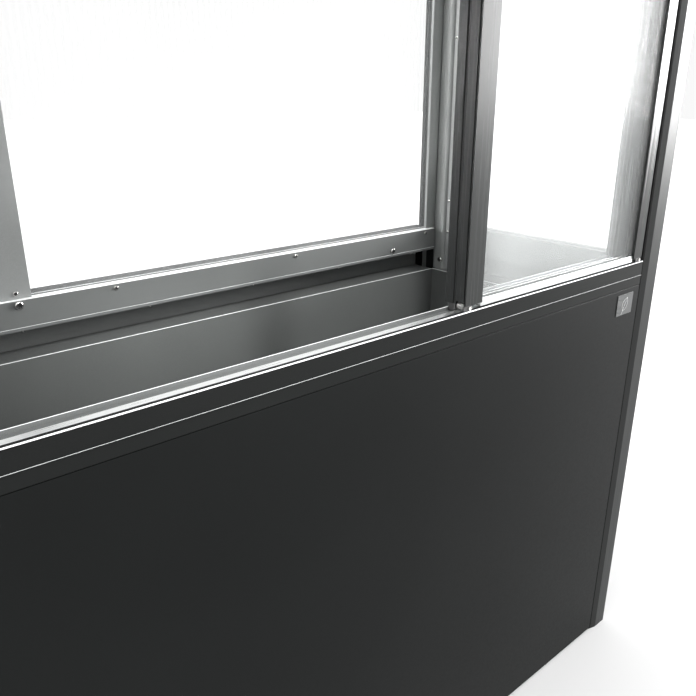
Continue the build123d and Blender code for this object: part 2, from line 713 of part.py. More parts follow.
# ---------------------------------------------------------------- fasteners and plate
def head(radius, height, place, turn):
    """Domed screw head with a round socket, seated at place and turned from +Z."""
    dome = Pos(0, 0, height / 2) * Cylinder(radius, height)
    dome = fillet(dome.edges().group_by(Axis.Z)[-1], height * dome_share)
    dome -= Pos(0, 0, height) * Cylinder(radius * socket_share, height)
    return Pos(*place) * Rot(*turn) * dome


facing_front = (90, 0, 0)
facing_centre = (0, -90, 0)
screw = (screw_head_radius, screw_head_height)
bolt = (bolt_head_radius, bolt_head_height)
screw_z = band_top - band_screw_drop
screw_row = [liner_side - band_screw_end - step * band_screw_pitch for step in range(3)]
screws = [head(*screw, (sign * x, band_face, screw_z), facing_front)
          for x in screw_row for sign in (-1, 1)]
mullion_face = rear_glass_in - mullion_depth
screws.append(head(*screw, (0, mullion_face, band_top + mullion_screw_rise), facing_front))
screws.append(head(*screw, (0, mullion_face, rear_head_bottom - mullion_screw_rise), facing_front))
under_count = int(2 * (liner_side - band_screw_end) // under_screw_pitch)
for step in range(under_count + 1):
    x = (step - under_count / 2) * under_screw_pitch
    rod = Pos(x, band_face + under_screw_shank, band_bottom - under_screw_reach / 2) * \
        Cylinder(under_screw_shank, under_screw_reach)
    screws.append(rod)
flange_face = side_glass_in - side_bead_flange_depth
flange_middle = bead_break - side_bead_flange / 2
for rise in flange_screw_rises:
    right_screw = head(*screw, (flange_face, flange_middle, side_sill_top + rise), facing_centre)
    screws += [right_screw, mirrored(right_screw)]
keep("frame_screws", *screws)

bolts = [head(*bolt, (0, band_face, screw_z), facing_front)]
bolt_z = band_top - band_bolt_drop
bolts += [head(*bolt, (sign * band_bolt_pitch, band_face, bolt_z), facing_front) for sign in (-1, 1)]
corner_place = (side_glass_in - side_bead_reach, bead_break + corner_bolt_inset,
                side_sill_top - corner_bolt_drop)
post_bolt = head(*bolt, corner_place, facing_centre)
bolts += [post_bolt, mirrored(post_bolt)]
keep("frame_bolts", *bolts)

plate_right = panel_end - plate_side_gap + panel_gap
plate_top = front_top - plate_drop
plate = block(plate_right - plate_width, plate_right, front + panel_recess - plate_sheet,
              front + panel_recess, plate_top - plate_height, plate_top)
keep("name_plate", plate)

# ---------------------------------------------------------------- files
os.makedirs("parts", exist_ok=True)
for name, shape in nodes.items():
    export_step(shape, f"parts/{name}.step")
print(len(nodes), "nodes")
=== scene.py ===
import bmesh
import bpy
import json
from math import radians
from mathutils import Matrix, Vector

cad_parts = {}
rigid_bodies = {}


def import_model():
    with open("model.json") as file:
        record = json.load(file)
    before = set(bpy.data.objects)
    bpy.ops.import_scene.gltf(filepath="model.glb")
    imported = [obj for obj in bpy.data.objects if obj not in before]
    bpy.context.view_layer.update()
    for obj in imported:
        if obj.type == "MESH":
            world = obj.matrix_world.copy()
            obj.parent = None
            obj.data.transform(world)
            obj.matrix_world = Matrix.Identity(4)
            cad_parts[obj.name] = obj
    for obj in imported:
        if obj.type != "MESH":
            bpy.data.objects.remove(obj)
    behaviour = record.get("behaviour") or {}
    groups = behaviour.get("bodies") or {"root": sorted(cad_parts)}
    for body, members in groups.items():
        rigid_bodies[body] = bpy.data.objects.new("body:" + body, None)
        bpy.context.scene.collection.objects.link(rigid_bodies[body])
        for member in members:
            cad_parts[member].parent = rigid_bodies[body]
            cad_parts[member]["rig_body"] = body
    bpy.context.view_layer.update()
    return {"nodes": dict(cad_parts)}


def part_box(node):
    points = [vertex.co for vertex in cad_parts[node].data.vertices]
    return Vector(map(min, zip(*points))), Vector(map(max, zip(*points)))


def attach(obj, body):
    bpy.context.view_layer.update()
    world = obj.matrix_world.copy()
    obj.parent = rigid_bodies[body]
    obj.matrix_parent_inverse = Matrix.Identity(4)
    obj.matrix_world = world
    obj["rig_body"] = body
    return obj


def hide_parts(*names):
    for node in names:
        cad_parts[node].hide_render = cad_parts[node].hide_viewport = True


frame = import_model()

# ---- Corner posts
# Four aluminium extrusions stand on the ground and carry everything else. Each has a sloping cover
# fin along both outer faces. They are powder coated in a satin anthracite, over faint die lines.
post_grey = (0.014, 0.0150, 0.0148)
post_edge = 0.0006
fin_foot = 0.0042
crease = radians(13)       # edges that turn further than this stay sharp
edge_turn = radians(35)    # and those that turn further than this are rounded
edge_steps = 2
face_weight = 80
flat_turn = radians(0.5)
merge_gap = 0.00001
score_gap = 0.0000001
facing = 0.9               # a face looks along an axis when its normal has this much of it


def new_finish(name, colour, roughness, metallic=0.0, shine=0.5):
    """A material and its shader, with the numbers that are the same all over the surface."""
    material = bpy.data.materials.new(name)
    material.use_nodes = True
    shader = material.node_tree.nodes["Principled BSDF"]
    shader.inputs["Base Color"].default_value = (*colour, 1)
    shader.inputs["Roughness"].default_value = roughness
    shader.inputs["Metallic"].default_value = metallic
    shader.inputs["Specular IOR Level"].default_value = shine
    return material, shader


def grain(material, scale, stretch=(1, 1, 1), detail=2.0):
    """Noise over a piece, with features of about 1/scale metres, drawn out where stretch is small."""
    nodes, links = material.node_tree.nodes, material.node_tree.links
    place = nodes.new("ShaderNodeTexCoord")
    mapping = nodes.new("ShaderNodeMapping")
    mapping.inputs["Scale"].default_value = stretch
    noise = nodes.new("ShaderNodeTexNoise")
    noise.inputs["Scale"].default_value = scale
    noise.inputs["Detail"].default_value = detail
    links.new(place.outputs["Object"], mapping.inputs["Vector"])
    links.new(mapping.outputs["Vector"], noise.inputs["Vector"])
    return noise.outputs["Fac"]


def spread(material, value, low, high, start=0.3, stop=0.7):
    """A noise value spread over a range of its own."""
    ranged = material.node_tree.nodes.new("ShaderNodeMapRange")
    for socket, number in (("From Min", start), ("From Max", stop), ("To Min", low), ("To Max", high)):
        ranged.inputs[socket].default_value = number
    material.node_tree.links.new(value, ranged.inputs["Value"])
    return ranged.outputs["Result"]


def tint(material, value, one, other):
    """A colour between two, by a value. The first may be the output of another node."""
    mix = material.node_tree.nodes.new("ShaderNodeMix")
    mix.data_type = "RGBA"
    mix.inputs["B"].default_value = (*other, 1)
    links = material.node_tree.links
    links.new(value, mix.inputs["Factor"])
    if isinstance(one, bpy.types.NodeSocket):
        links.new(one, mix.inputs["A"])
    else:
        mix.inputs["A"].default_value = (*one, 1)
    return mix.outputs["Result"]


def relief(material, shader, value, depth):
    """Bump of a depth in metres, over any bump that the shader has already."""
    bump = material.node_tree.nodes.new("ShaderNodeBump")
    bump.inputs["Strength"].default_value = 1.0
    bump.inputs["Distance"].default_value = depth
    links = material.node_tree.links
    links.new(value, bump.inputs["Height"])
    if shader.inputs["Normal"].is_linked:
        links.new(shader.inputs["Normal"].links[0].from_socket, bump.inputs["Normal"])
    links.new(bump.outputs["Normal"], shader.inputs["Normal"])


def uneven(material, shader, scale, low, high, stretch=(1, 1, 1)):
    """Roughness that changes a little from place to place."""
    ranged = spread(material, grain(material, scale, stretch), low, high)
    material.node_tree.links.new(ranged, shader.inputs["Roughness"])


def shaded(colour, share):
    """A darker or lighter shade of a colour."""
    return tuple(channel * share for channel in colour)


die_lines = {"x": (0.02, 1, 1), "y": (1, 0.02, 1), "z": (1, 1, 0.02), None: (1, 1, 1)}


def powder_coat(name, colour, roughness, along=None, index=1.13):
    """Satin coat with fine flecks and orange peel; on an extrusion, faint die lines show along it."""
    material, shader = new_finish(name, colour, roughness)
    shader.inputs["IOR"].default_value = index
    links = material.node_tree.links
    cloud = tint(material, spread(material, grain(material, 4, detail=3), 0, 1),
                 shaded(colour, 0.93), shaded(colour, 1.06))
    fleck = spread(material, grain(material, 2600, detail=0), 0, 0.5, 0.62, 0.72)
    links.new(tint(material, fleck, cloud, shaded(colour, 1.9)), shader.inputs["Base Color"])
    lines = grain(material, 240, die_lines[along], 3)
    links.new(spread(material, lines, roughness - 0.04, roughness + 0.05), shader.inputs["Roughness"])
    relief(material, shader, grain(material, 520, detail=1), 0.00001)
    if along:
        relief(material, shader, lines, 0.00001)
    return material


def link(name, mesh, finishes):
    """A new object with its finishes, at the origin."""
    piece = bpy.data.objects.new(name, mesh)
    bpy.context.scene.collection.objects.link(piece)
    for finish in finishes:
        mesh.materials.append(finish)
    return piece


def settle(piece, *nodes):
    """The piece stands for these nodes of one body and moves with it."""
    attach(piece, frame["nodes"][nodes[0]]["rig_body"])
    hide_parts(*nodes)


def soften(piece, width):
    """Round the edges of a piece, and keep its flat faces flat."""
    piece.data.shade_smooth()
    bevel = piece.modifiers.new("edges", "BEVEL")
    bevel.width = width
    bevel.segments = edge_steps
    bevel.limit_method = "ANGLE"
    bevel.angle_limit = edge_turn
    bevel.use_clamp_overlap = True
    flatten = piece.modifiers.new("flat_faces", "WEIGHTED_NORMAL")
    flatten.weight = face_weight
    flatten.keep_sharp = True


def solid_of(node):
    """A node's shape with its triangles merged into whole faces."""
    work = bmesh.new()
    work.from_mesh(frame["nodes"][node].data)
    bmesh.ops.remove_doubles(work, verts=work.verts, dist=merge_gap)
    bmesh.ops.dissolve_limit(work, angle_limit=flat_turn, verts=work.verts, edges=work.edges)
    for edge in work.edges:
        edge.smooth = edge.calc_face_angle(0) < crease
    return work


def finished(name, node, finishes, width, choose=None, shape=None):
    """A node's shape with rounded edges. Shape changes the mesh, and choose picks each face's finish."""
    work = solid_of(node)
    if shape:
        shape(work)
    if choose:
        for face in work.faces:
            face.material_index = choose(face)
    mesh = bpy.data.meshes.new(name)
    work.to_mesh(mesh)
    work.free()
    piece = link(name, mesh, finishes)
    soften(piece, width)
    settle(piece, node)


post_coat = powder_coat("post_coat", post_grey, 0.36, "z", 1.22)
# Near black painted shade, for the gaps beside the panels and the line under the sill's front lip.
painted_shade_black, painted_shade_black_shader = new_finish("painted_shade_black", (0.004, 0.004, 0.004), 0.8, shine=0.1)
uneven(painted_shade_black, painted_shade_black_shader, 90, 0.7, 0.9)


def score(work, place, towards):
    """Divide the faces of a piece at a plane."""
    bmesh.ops.bisect_plane(work, geom=work.verts[:] + work.edges[:] + work.faces[:], dist=score_gap,
                           plane_co=place, plane_no=towards)


for across in ("left", "right"):
    for along in ("front", "rear"):
        low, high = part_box(f"post_{along}_{across}")
        fin_x = high.x - fin_foot if across == "left" else low.x + fin_foot
        fin_y = high.y - fin_foot if along == "front" else low.y + fin_foot

        def fin_finish(face, fin_x=fin_x, fin_y=fin_y):
            """The feet of the two cover fins are painted black as shade, in the gaps beside the panels.
            """
            centre = face.calc_center_median()
            in_front = abs(centre.x) < abs(fin_x) and abs(face.normal.y) > facing
            at_side = abs(centre.y) < abs(fin_y) and abs(face.normal.x) > facing
            return int(in_front or at_side)

        def score_fins(work, fin_x=fin_x, fin_y=fin_y):
            """Divide the fins where the painted shade begins."""
            score(work, (fin_x, 0, 0), (1, 0, 0))
            score(work, (0, fin_y, 0), (0, 1, 0))

        finished(f"{along}_{across}_corner_post", f"post_{along}_{across}", [post_coat, painted_shade_black],
                 post_edge, fin_finish, score_fins)

# ---- Outer skin of the bed
# Folded sheet panels, set 1.5 mm behind the faces of the posts with a gap beside each post, whose shade
# is painted black on the posts.
# The sheet is pre-coated, smoother and darker than the extrusions, with a pale reverse side.
panel_grey = (0.0062, 0.0068, 0.0067)
panel_edge = 0.0004
walls = {"front": Vector((0, 1, 0)), "rear": Vector((0, -1, 0)),
         "left": Vector((1, 0, 0)), "right": Vector((-1, 0, 0))}


def sheet_coat(name, colour, roughness, index):
    """Coil coated sheet: fine grain and a slight waviness over the whole width."""
    material = powder_coat(name, colour, roughness, None, index)
    shader = material.node_tree.nodes["Principled BSDF"]
    relief(material, shader, grain(material, 2.2, detail=1), 0.0004)
    return material


panel_coat = sheet_coat("panel_coat", panel_grey, 0.40, 1.14)
reverse_coat = sheet_coat("panel_reverse", (0.13, 0.136, 0.133), 0.45, 1.4)
for side, inward in walls.items():
    finished(f"{side}_outer_panel", f"{side}_panel", [panel_coat, reverse_coat], panel_edge,
             lambda face, inward=inward: int(face.normal.dot(inward) > facing))

# ---- Inner skin and cross tie
# The liner holds the soil. Its sheets are folded outwards at the top into a ledge, and a plated tie
# rod with two round pads keeps the long walls from bulging.
liner_grey = (0.085, 0.089, 0.087)
liner_edge = 0.0005
tie_edge = 0.0008
ledge_highlight_width = 0.003
liner_coat = sheet_coat("liner_coat", liner_grey, 0.36, 1.42)
# A pale finish painted as a highlight along lit edges: the liner ledges, the rear rail's top and the
# sill's lips.
painted_edge_highlight, painted_edge_highlight_shader = new_finish("painted_highlight_finish", (0.88, 0.89, 0.89), 0.35)
uneven(painted_edge_highlight, painted_edge_highlight_shader, 240, 0.28, 0.42)
for side, inward in walls.items():
    rim = max(corner.dot(inward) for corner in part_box(f"{side}_liner")) - ledge_highlight_width

    def ledge_finish(face, inward=inward, rim=rim):
        """A painted highlight runs along the ledge's edge."""
        return int(face.normal.z > facing and face.calc_center_median().dot(inward) > rim)

    def score_ledge(work, inward=inward, rim=rim):
        """Divide the ledge where the painted highlight begins."""
        score(work, inward * rim, inward)

    finished(f"{side}_bed_liner", f"{side}_liner", [liner_coat, painted_edge_highlight], liner_edge,
             ledge_finish, score_ledge)


def bare_metal(name, colour, roughness, along=None, depth=0.00001):
    """Uncoated metal with the fine lines of drawing, turning or brushing."""
    material, shader = new_finish(name, colour, roughness, 1.0)
    links = material.node_tree.links
    lines = grain(material, 900, die_lines[along], 4)
    links.new(tint(material, spread(material, lines, 0, 1), shaded(colour, 0.9), shaded(colour, 1.06)),
              shader.inputs["Base Color"])
    links.new(spread(material, lines, roughness - 0.05, roughness + 0.07), shader.inputs["Roughness"])
    relief(material, shader, lines, depth)
    return material


zinc = bare_metal("zinc_plating", (0.52, 0.53, 0.54), 0.38)
finished("soil_cross_tie", "cross_tie", [zinc], tie_edge)

# ---- Front sill and trim strip
# An extrusion with a lip, a water groove, a raised rib for the rollers and a channel for the inner
# doors. The rib is polished by use. The lips carry painted highlights, with a painted shadow line under
# the highlight on the front lip's face, the channel's upward and front faces are painted paler as light,
# and a slim lip closes the fascia at its foot.
sill_grey = (0.0095, 0.0102, 0.0100)
sill_coat = powder_coat("sill_coat", sill_grey, 0.38, "x")
painted_channel_light_grey = (0.16, 0.166, 0.164)
painted_channel_light = powder_coat("painted_channel_light", painted_channel_light_grey, 0.40, "x")
worn = bare_metal("worn_track", (0.86, 0.87, 0.87), 0.30, "x")
sill_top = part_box("front_sill")[1].z
sill_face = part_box("front_sill")[0].y
rib_drop = 0.0015
rib_start, rib_stop = 0.0096, 0.0240
channel_drop = 0.0055
front_lip = 0.0025
inner_lip = 0.0365
sill_edge = 0.0002
trim_edge = 0.0003
slim_lip_depth = 0.0009
painted_highlight_drop, painted_shadow_drop = 0.0014, 0.0028


def track_finish(face):
    """0 coated, 1 bare metal on the rib, 2 painted light in the channel, 3 painted highlights on the
    lips, 4 the painted shadow line.
    """
    centre = face.calc_center_median()
    upward, forward = face.normal.z > facing, face.normal.y < -facing
    depth = centre.y - sill_face
    drop = sill_top - centre.z
    if upward and rib_start < depth < rib_stop and drop < channel_drop:
        return 1
    if upward and (depth < slim_lip_depth or depth > inner_lip or depth < front_lip and drop < rib_drop):
        return 3
    # the top of the front lip's face is a painted highlight, and the band under it a painted shadow
    if forward and depth < front_lip and drop < painted_shadow_drop:
        return 3 if drop < painted_highlight_drop else 4
    # the channel's upward and front faces are painted paler, as the light on them
    if depth > rib_start and (upward or forward):
        return 2
    return 0


def score_sill(work):
    """Divide the sill where its finishes change."""
    for depth in (rib_start, rib_stop):
        score(work, (0, sill_face + depth, 0), (0, 1, 0))
    for drop in (painted_highlight_drop, painted_shadow_drop):
        score(work, (0, 0, sill_top - drop), (0, 0, 1))


finished("front_sill_profile", "front_sill", [sill_coat, worn, painted_channel_light, painted_edge_highlight, painted_shade_black],
         sill_edge, track_finish, score_sill)
finished("front_trim_strip", "front_trim", [sill_coat], trim_edge)

# ---- Rails of the fixed glazing
# Extruded rails along the rear and the sides take the lower edges of the sheets. The rear one shows
# its face inside the frame, with a rounded lip under a fine groove along its foot.
rail_grey = (0.11, 0.115, 0.113)
rail_coat = powder_coat("rail_coat", rail_grey, 0.36, "x", 1.45)
side_rail_coat = powder_coat("side_rail_coat", rail_grey, 0.36, "y", 1.45)
lip_height = 0.0055
lip_groove = 0.0011
lip_groove_depth = 0.0012
rail_edge = 0.0004
in_plane = 0.0001


def cut_lip(work):
    """Sink a fine groove into the rail's inner face, above its foot."""
    low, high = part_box("rear_sill")
    foot, top = low.z + lip_height, low.z + lip_height + lip_groove
    for height in (foot, top):
        score(work, (0, 0, height), (0, 0, 1))
    strip = [face for face in work.faces
             if face.normal.y < -facing and abs(face.calc_center_median().y - low.y) < in_plane
             and foot < face.calc_center_median().z < top]
    sunk = bmesh.ops.extrude_face_region(work, geom=strip)
    moved = [item for item in sunk["geom"] if isinstance(item, bmesh.types.BMVert)]
    bmesh.ops.translate(work, verts=moved, vec=(0, lip_groove_depth, 0))
    bmesh.ops.delete(work, geom=[face for face in strip if face.is_valid], context="FACES_ONLY")


# The rear rail's upward faces are painted pale as a highlight.
finished("rear_glazing_rail", "rear_sill", [rail_coat, painted_edge_highlight], rail_edge,
         lambda face: int(face.normal.z > facing), cut_lip)
for side in ("left", "right"):
    finished(f"{side}_glazing_rail", f"{side}_sill", [side_rail_coat], rail_edge)

# ---- Head rails and rafter
# The rails under the roof: a deep one over the doors with two guide slots, one along the rear with
# the channel that the lids turn in, two raking ones at the sides, and a rafter between the lids.
head_edge = 0.0005
head_coat = powder_coat("head_coat", post_grey, 0.40, "x")
rake_coat = powder_coat("rake_coat", post_grey, 0.40, "y")
for name, node, coat in (("front_head_rail", "front_head", head_coat),
                         ("rear_head_rail", "rear_head", head_coat),
                         ("left_raking_rail", "left_head", rake_coat),
                         ("right_raking_rail", "right_head", rake_coat),
                         ("middle_rafter", "centre_rafter", rake_coat)):
    finished(name, node, [coat], head_edge)

# ---- Mullion and glazing beads
# A mullion joins the two rear sheets. Beads of the same lighter coat press the sheets into the posts,
# and the side ones have a rounded body with a flat flange for their screws.
bead_grey = (0.20, 0.207, 0.204)
mullion_edge = 0.0005
bead_edge = 0.0008
bead_coat = powder_coat("bead_coat", bead_grey, 0.34, "z", 1.45)
finished("rear_glazing_mullion", "rear_mullion", [bead_coat], mullion_edge)
finished("rear_glazing_beads", "rear_beads", [bead_coat], bead_edge)
finished("side_glazing_beads", "side_beads", [bead_coat], bead_edge)

# ---- Twin-wall sheets
# Every pane is a clear extruded sheet: two thin skins joined by ribs about 11 mm apart that run up
# the sheet. It lets most light through, and its ribs and a little dust make it milky.
flute_pitch = 0.011
skin = 0.0007
rib = 0.0006
sheet_clear, sheet_shader = new_finish("twin_wall_plastic", (0.86, 0.885, 0.88), 0.16)
dust = spread(sheet_clear, grain(sheet_clear, 9, (1, 1, 0.4), 4), 0.022, 0.036)
sheet_clear.node_tree.links.new(dust, sheet_shader.inputs["Alpha"])
uneven(sheet_clear, sheet_shader, 60, 0.12, 0.22, (1, 1, 0.05))
relief(sheet_clear, sheet_shader, grain(sheet_clear, 160, (1, 1, 0.03), 2), 0.00004)


def fluted_sheet(origin, across, through, up, size):
    """A twin-wall sheet from one corner, with its width, thickness and rib directions."""
    width, thickness, length = size
    cells = round(width / flute_pitch)
    pitch = (width - rib) / cells
    work = bmesh.new()
    bmesh.ops.create_grid(work, x_segments=2 * cells + 1, y_segments=3, size=0.5)
    columns = sorted({round(vert.co.x, 6) for vert in work.verts})
    rows = sorted({round(vert.co.y, 6) for vert in work.verts})
    levels = (0, skin, thickness - skin, thickness)
    for vert in work.verts:
        column = columns.index(round(vert.co.x, 6))
        vert.co = (column // 2 * pitch + column % 2 * rib, levels[rows.index(round(vert.co.y, 6))], 0)
    hollows = [face for face in work.faces
               if max(v.co.x for v in face.verts) - min(v.co.x for v in face.verts) > 2 * rib
               and skin < face.calc_center_median().y < thickness - skin]
    bmesh.ops.delete(work, geom=hollows, context="FACES")
    drawn = bmesh.ops.extrude_face_region(work, geom=work.verts[:] + work.edges[:] + work.faces[:],
                                          use_keep_orig=True)
    ends = [item for item in drawn["geom"] if isinstance(item, bmesh.types.BMVert)]
    bmesh.ops.translate(work, verts=ends, vec=(0, 0, length))
    placed = Matrix((across, through, up)).transposed().to_4x4()
    bmesh.ops.transform(work, matrix=Matrix.Translation(origin) @ placed, verts=work.verts)
    bmesh.ops.recalc_face_normals(work, faces=work.faces)
    return work


def hang_sheet(name, node, work):
    """Make a fluted sheet an object in the place of its node."""
    mesh = bpy.data.meshes.new(name)
    work.to_mesh(mesh)
    work.free()
    settle(link(name, mesh, [sheet_clear]), node)


x_axis, y_axis, z_axis = Vector((1, 0, 0)), Vector((0, 1, 0)), Vector((0, 0, 1))
upright = ["rear_pane_left", "rear_pane_right"]
upright += [f"{track}_door_{side}_pane" for track in ("outer", "inner") for side in ("left", "right")]
for node in upright:
    low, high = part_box(node)
    work = fluted_sheet(low, x_axis, y_axis, z_axis, high - low)
    hang_sheet(f"{node}_sheet", node, work)

for side in ("left", "right"):
    node = f"{side}_pane"
    low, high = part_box(node)
    size = high - low
    work = fluted_sheet(low, y_axis, x_axis, z_axis, (size.y, size.x, size.z))
    crown = [vert.co for vert in frame["nodes"][node].data.vertices if vert.co.z > low.z + size.z / 2]
    front_top = min(crown, key=lambda place: place.y)
    rear_top = max(crown, key=lambda place: place.y)
    rake = (rear_top - front_top).normalized()
    cut = bmesh.ops.bisect_plane(work, geom=work.verts[:] + work.edges[:] + work.faces[:],
                                 plane_co=front_top, plane_no=x_axis.cross(rake), clear_outer=True)
    rim = [item for item in cut["geom_cut"] if isinstance(item, bmesh.types.BMEdge)]
    bmesh.ops.triangle_fill(work, edges=rim, use_beauty=True)
    bmesh.ops.recalc_face_normals(work, faces=work.faces)
    hang_sheet(f"{side}_gable_sheet", node, work)

for side in ("left", "right"):
    node = f"lid_{side}_pane"
    low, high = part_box(node)
    corners = [vert.co for vert in frame["nodes"][node].data.vertices]
    foot = min(corners, key=lambda place: (round(place.z, 5), place.x))
    end = [place for place in corners if abs(place.x - foot.x) < in_plane]
    crest = min(end, key=lambda place: -place.z)
    behind = max(end, key=lambda place: (place.y, -place.z))
    climb = (behind - foot).normalized()
    lift = x_axis.cross(climb)
    size = (high.x - low.x, (crest - foot).dot(lift), (behind - foot).length)
    work = fluted_sheet(foot, x_axis, lift, climb, size)
    hang_sheet(f"{side}_lid_sheet", node, work)

# ---- Jamb seals
# Black rubber strips, one against the inner side of each front post. The parked doors stand beside
# them, and a recess runs up the side that faces the doors.
seal_edge = 0.0008
rubber, rubber_shader = new_finish("seal_rubber", (0.012, 0.012, 0.012), 0.7)
uneven(rubber, rubber_shader, 70, 0.6, 0.8, (1, 1, 0.1))
relief(rubber, rubber_shader, grain(rubber, 900), 0.00002)
finished("door_jamb_seals", "jamb_seals", [rubber], seal_edge)

# ---- Sliding doors
# Two pairs of doors on two tracks. Their stiles are coated extrusions that overlap in the middle,
# and their slim top and bottom rails are bare metal caps over the edges of the sheets.
stile_grey = (0.021, 0.0222, 0.0218)
stile_edge = 0.0006
cap_edge = 0.0005
stile_coat = powder_coat("stile_coat", stile_grey, 0.25, "z", 1.24)
cap_metal = bare_metal("rail_cap_metal", (0.50, 0.51, 0.51), 0.34, "x")
for track in ("outer", "inner"):
    for side in ("left", "right"):
        finished(f"{track}_{side}_door_stiles", f"{track}_door_{side}_stiles", [stile_coat], stile_edge)
        finished(f"{track}_{side}_door_rails", f"{track}_door_{side}_rails", [cap_metal], cap_edge)

# ---- Rollers, carriages and shoes
# Turned steel rollers carry the outer doors on the rib, each on an axle in a moulded carriage. The
# inner doors slide on moulded shoes in the channel.
carriage_edge = 0.0005
shoe_edge = 0.0006
roller_edge = 0.0010
screw_head = 0.0010
turned = bare_metal("turned_steel", (0.16, 0.16, 0.157), 0.45, depth=0.00002)
moulded, moulded_shader = new_finish("moulded_black", (0.018, 0.018, 0.018), 0.45)
uneven(moulded, moulded_shader, 300, 0.38, 0.55)
relief(moulded, moulded_shader, grain(moulded, 1200), 0.00003)
steel = bare_metal("stainless_steel", (0.78, 0.77, 0.75), 0.20)
for side in ("left", "right"):
    low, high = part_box(f"outer_door_{side}_carriages")

    def carriage_finish(face, front=low.y):
        """The small screw head in front is steel."""
        return int(face.calc_center_median().y < front + screw_head)

    finished(f"outer_{side}_door_carriages", f"outer_door_{side}_carriages", [moulded, steel],
             carriage_edge, carriage_finish)
    finished(f"inner_{side}_door_shoes", f"inner_door_{side}_shoes", [moulded], shoe_edge)
    for place in ("inner", "end"):
        finished(f"{side}_{place}_door_roller", f"roller_{side}_{place}", [turned], roller_edge)

# ---- Roof lids and their stays
# Each lid is a coated frame round a twin-wall sheet. A bead along its upper edge turns in the rear
# head's channel, and a plated bar on a pin props it open.
lid_edge = 0.0006
stay_edge = 0.0004
for side in ("left", "right"):
    finished(f"{side}_lid_frame", f"lid_{side}_frame", [rake_coat], lid_edge)
    finished(f"{side}_lid_stay", f"stay_{side}", [zinc], stay_edge)

# ---- Screws and bolts
# Stainless button heads with a round socket, painted near black inside as shade. Larger ones join the
# rails to the posts.
socket_share = 0.36
head_round = 0.0003
# Near black painted shade for the inside of the sockets.
painted_socket_shade, painted_socket_shade_shader = new_finish("socket_painted_shade", (0.02, 0.02, 0.02), 0.6)
uneven(painted_socket_shade, painted_socket_shade_shader, 800, 0.5, 0.7)


def mark_sockets(work):
    """Give the faces of every socket the second finish, the painted shade."""
    waiting = set(work.faces)
    while waiting:
        island, front_line = set(), [waiting.pop()]
        while front_line:
            face = front_line.pop()
            island.add(face)
            beside = {other for edge in face.edges for other in edge.link_faces} & waiting
            waiting -= beside
            front_line += beside
        places = [vert.co for face in island for vert in face.verts]
        low = Vector(min(place[axis] for place in places) for axis in range(3))
        high = Vector(max(place[axis] for place in places) for axis in range(3))
        middle, size = (low + high) / 2, high - low
        thin = min(range(3), key=lambda axis: size[axis])
        screw_axis = Vector(axis == thin for axis in range(3))
        for face in island:
            arms = [vert.co - middle for vert in face.verts]
            reach = max((arm - arm[thin] * screw_axis).length for arm in arms)
            face.material_index = int(reach < max(size) * socket_share)


for name, node in (("frame_screw_heads", "frame_screws"), ("frame_bolt_heads", "frame_bolts")):
    finished(name, node, [steel, painted_socket_shade], head_round, shape=mark_sockets)

# ---- Plate
# A small brushed aluminium plate that lies flat on the front panel, near its upper right corner. It
# has the outline of a leaf with one vein, raised in brighter metal.
plate_metal = bare_metal("brushed_plate", (0.105, 0.108, 0.108), 0.30, "x", 0.00002)
leaf_metal = bare_metal("leaf_metal", (0.62, 0.62, 0.62), 0.30, "x")
leaf_line = 0.0007
leaf_height = 0.0003
leaf_share = 0.36          # half the leaf's length, of the plate's height
leaf_slimness = 0.62
leaf_steps = 36
leaf_lean = radians(62)
vein_length, vein_shift = 2.5, -0.25    # of half the leaf's length
plate_edge = 0.0001


def add_leaf(work):
    """A raised outline of a leaf with its middle vein, upright on the plate's face."""
    low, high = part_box("name_plate")
    face_centre = Vector(((low.x + high.x) / 2, low.y, (low.z + high.z) / 2))
    reach = (high.z - low.z) * leaf_share
    leaf = bmesh.new()
    bmesh.ops.create_circle(leaf, cap_ends=True, segments=leaf_steps, radius=reach)
    for vert in leaf.verts:
        vert.co.y *= leaf_slimness * max(0.0, 1 - (vert.co.x / reach) ** 2) ** 0.5
    bmesh.ops.remove_doubles(leaf, verts=leaf.verts, dist=merge_gap)
    rim = bmesh.ops.inset_individual(leaf, faces=leaf.faces, thickness=leaf_line)["faces"]
    bmesh.ops.delete(leaf, geom=[face for face in leaf.faces if face not in rim], context="FACES_ONLY")
    vein = bmesh.ops.create_grid(leaf, x_segments=1, y_segments=1, size=0.5)["verts"]
    bmesh.ops.scale(leaf, vec=(vein_length * reach, leaf_line, 1), verts=vein)
    bmesh.ops.translate(leaf, vec=(vein_shift * reach, 0, 0), verts=vein)
    raised = bmesh.ops.extrude_face_region(leaf, geom=leaf.faces[:], use_keep_orig=True)["geom"]
    tops = [item for item in raised if isinstance(item, bmesh.types.BMVert)]
    bmesh.ops.translate(leaf, vec=(0, 0, leaf_height), verts=tops)
    bmesh.ops.recalc_face_normals(leaf, faces=leaf.faces)
    standing = Matrix.Rotation(radians(90), 4, "X") @ Matrix.Rotation(leaf_lean, 4, "Z")
    bmesh.ops.transform(leaf, matrix=Matrix.Translation(face_centre) @ standing, verts=leaf.verts)
    for face in leaf.faces:
        face.material_index = 1
    drawn = bpy.data.meshes.new("leaf_outline")
    leaf.to_mesh(drawn)
    leaf.free()
    work.from_mesh(drawn)
    bpy.data.meshes.remove(drawn)


finished("front_leaf_plate", "name_plate", [plate_metal, leaf_metal], plate_edge, shape=add_leaf)

